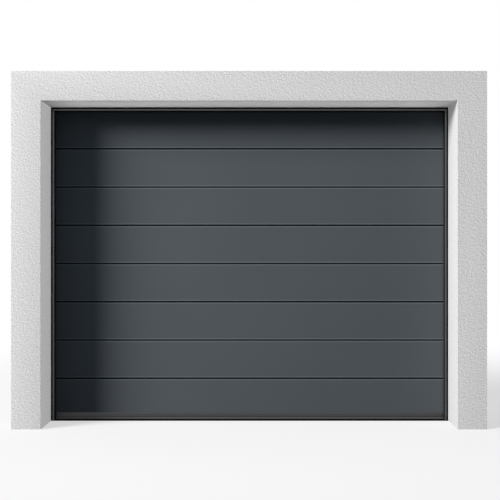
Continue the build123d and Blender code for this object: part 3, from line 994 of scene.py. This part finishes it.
# The floor: its colour, the darker one with which it lights what stands on it, how much of it is plain white
# near the door, and between which distances the rest fades into white
floor_colour = "#D7D7D7"
floor_bounce = "#4B4B4B"
floor_glow = 0.62
fade_from = 2.2
fade_to = 5.0
floor_reach = 40

# How bright each lamp makes a white face that is turned square to it
key_level = 1.6
door_key_level = 0.4
floor_key_level = 2.15
left_level = 0.43
right_level = 0.79
under_level = 0.037
low_level = 0.085
top_level = 0.3
leaf_fill_level = 0.37
frame_level = 1.9
garage_level = 1.15


def seen_rays(tree):
    """One where a ray comes from the camera or off a shiny or clear face, and zero where it only lights."""
    path = add(tree, "ShaderNodeLightPath")
    either = add(
        tree,
        "ShaderNodeMath",
        {"operation": "MAXIMUM"},
        {0: path.outputs["Is Camera Ray"], 1: path.outputs["Is Glossy Ray"]},
    )
    return add(
        tree, "ShaderNodeMath", {"operation": "MAXIMUM"}, {0: either, 1: path.outputs["Is Transmission Ray"]}
    )


def studio_world():
    """White where it is seen, and a dim even light where it only lights."""
    world = bpy.data.worlds.new("studio")
    bpy.context.scene.world = world
    world.use_nodes = True
    tree = world.node_tree
    tree.nodes.clear()
    light = add(tree, "ShaderNodeBackground", None, {"Color": linear(white), "Strength": world_ambient})
    seen = add(tree, "ShaderNodeBackground", None, {"Color": linear(white), "Strength": 1.0})
    mixed = add(tree, "ShaderNodeMixShader", None, {0: seen_rays(tree), 1: light, 2: seen})
    add(tree, "ShaderNodeOutputWorld", None, {"Surface": mixed})


def studio_floor():
    """A pale matt floor that fades into the white background, and sends little light back up."""
    made = bpy.data.materials.new("pale_floor")
    made.use_nodes = True
    tree = made.node_tree
    tree.nodes.clear()
    where = add(tree, "ShaderNodeTexCoord").outputs["Object"]
    distance = add(tree, "ShaderNodeVectorMath", {"operation": "LENGTH"}, {0: where}).outputs["Value"]
    fade = add(
        tree,
        "ShaderNodeMapRange",
        {"interpolation_type": "SMOOTHSTEP"},
        {"Value": distance, "From Min": fade_from, "From Max": fade_to, "To Min": floor_glow, "To Max": 1.0},
    )
    ground = add(tree, "ShaderNodeBsdfDiffuse", None, {"Color": linear(floor_colour)})
    dim_ground = add(tree, "ShaderNodeBsdfDiffuse", None, {"Color": linear(floor_bounce)})
    glow = add(tree, "ShaderNodeEmission", None, {"Color": linear(white), "Strength": 1.0})
    shown = add(tree, "ShaderNodeMixShader", None, {0: fade, 1: ground, 2: glow})
    mixed = add(tree, "ShaderNodeMixShader", None, {0: seen_rays(tree), 1: dim_ground, 2: shown})
    add(tree, "ShaderNodeOutputMaterial", None, {"Surface": mixed})
    mesh = bpy.data.meshes.new("floor")
    corners = [(x * floor_reach, y * floor_reach, 0) for x, y in ((-1, -1), (1, -1), (1, 1), (-1, 1))]
    mesh.from_pydata(corners, [], [[0, 1, 2, 3]])
    mesh.materials.append(made)
    floor = bpy.data.objects.new("floor", mesh)
    bpy.context.scene.collection.objects.link(floor)
    return floor


def soft_box(name, place, target, width, height, level, shape="RECTANGLE"):
    """An area light. Its level is how bright it makes a white face turned square to it at the target."""
    data = bpy.data.lights.new(name, "AREA")
    data.shape = shape
    data.size = width
    data.size_y = height
    aim = Vector(target) - Vector(place)
    data.energy = level * math.pi**2 * aim.length_squared
    light = bpy.data.objects.new(name, data)
    light.location = place
    light.rotation_euler = aim.to_track_quat("-Z", "Y").to_euler()
    light.visible_camera = False
    bpy.context.scene.collection.objects.link(light)
    return light


def soft_sun(name, travel, reach, target, *size_and_level):
    """A soft box that shines this way, from this far off. A long way off it lights the whole door evenly."""
    direction = Vector(travel).normalized()
    return soft_box(name, Vector(target) - direction * reach, target, *size_and_level)


def shine_only_on(light, *pieces):
    """Limits a lamp to these pieces."""
    group = bpy.data.collections.new(f"lit_by_{light.name}")
    for piece in pieces:
        group.objects.link(piece)
    light.light_linking.receiver_collection = group


studio_world()
floor = studio_floor()
door_middle = (0.0, 0.0, 1.1)
door_pieces = [o for o in bpy.data.objects if o.type == "MESH" and o not in (floor, wall)]
frames = [nodes[name] for name in ("side_frame_left", "side_frame_right", "head_frame")]
sunlit_pieces = [o for o in door_pieces if o not in frames]

# The key light comes from the left, in front and above, and the door gets some more of it than the wall.
# The floor has its own, twice as far away and twice as large, so that it stays as bright on the right
key_travel = (0.85, 0.405, -0.405)
key_reach, key_width, key_height = 16.0, 6.4, 5.4
key_lamp = (key_travel, key_reach, door_middle, key_width, key_height)
far_key_lamp = (key_travel, 2 * key_reach, door_middle, 2 * key_width, 2 * key_height)
key_light = soft_sun("key_light", *key_lamp, key_level, "ELLIPSE")
door_key = soft_sun("door_key", *key_lamp, door_key_level, "ELLIPSE")
floor_key = soft_sun("floor_key", *far_key_lamp, floor_key_level, "ELLIPSE")
shine_only_on(key_light, wall, *sunlit_pieces)
shine_only_on(door_key, *sunlit_pieces)
shine_only_on(floor_key, floor)

# The wall's own lamps: from the left, from the right, straight up at the soffit, and low at the right jamb's
# foot. They send only direct light, so that none of it comes off the wall onto the leaf
left_light = soft_sun("left_light", (0.85, 0.405, 0.0), 16.0, door_middle, 2.0, 1.6, left_level)
right_light = soft_sun("right_light", (-0.985, 0.125, 0.01), 20.0, door_middle, 2.5, 1.6, right_level)
soffit_middle = (0.02, 0.12, 2.13)
under_light = soft_sun("under_light", (0.0, 0.0, 1.0), 2.1, soffit_middle, 2.64, 0.22, under_level)
under_light.data.spread = math.radians(14)
low_light = soft_box("low_light", (3.6, -1.2, 0.25), (1.4, 0.0, 0.2), 0.6, 0.3, low_level)
for light in (left_light, right_light, under_light, low_light):
    shine_only_on(light, wall)
    light.data.cycles.max_bounces = 0

# Over everything, a soft light from above
soft_sun("top_light", (0.0, 0.02, -1.0), 12.0, (0.0, 0.0, 0.0), 8.0, 8.0, top_level)

# Bluish fill on the door, a plain light on the frame's narrow strips, and light from inside the garage
leaf_fill = soft_sun("leaf_fill", (0.25, 0.75, -0.75), 6.0, door_middle, 8.0, 8.0, leaf_fill_level)
leaf_fill.data.color = linear("#D8EEFF")[:3]
shine_only_on(leaf_fill, *door_pieces)
frame_light = soft_sun("frame_light", (0.08, 1.0, -0.1), 6.0, door_middle, 6.0, 5.0, frame_level)
shine_only_on(frame_light, *frames)
garage_middle = (0.0, 1.0, 1.2)
garage_light = soft_sun("garage_light", (-0.25, -0.8, -0.5), 8.0, garage_middle, 10.0, 10.0, garage_level)
shine_only_on(garage_light, wall, *door_pieces)

bpy.context.scene.view_settings.view_transform = "Standard"
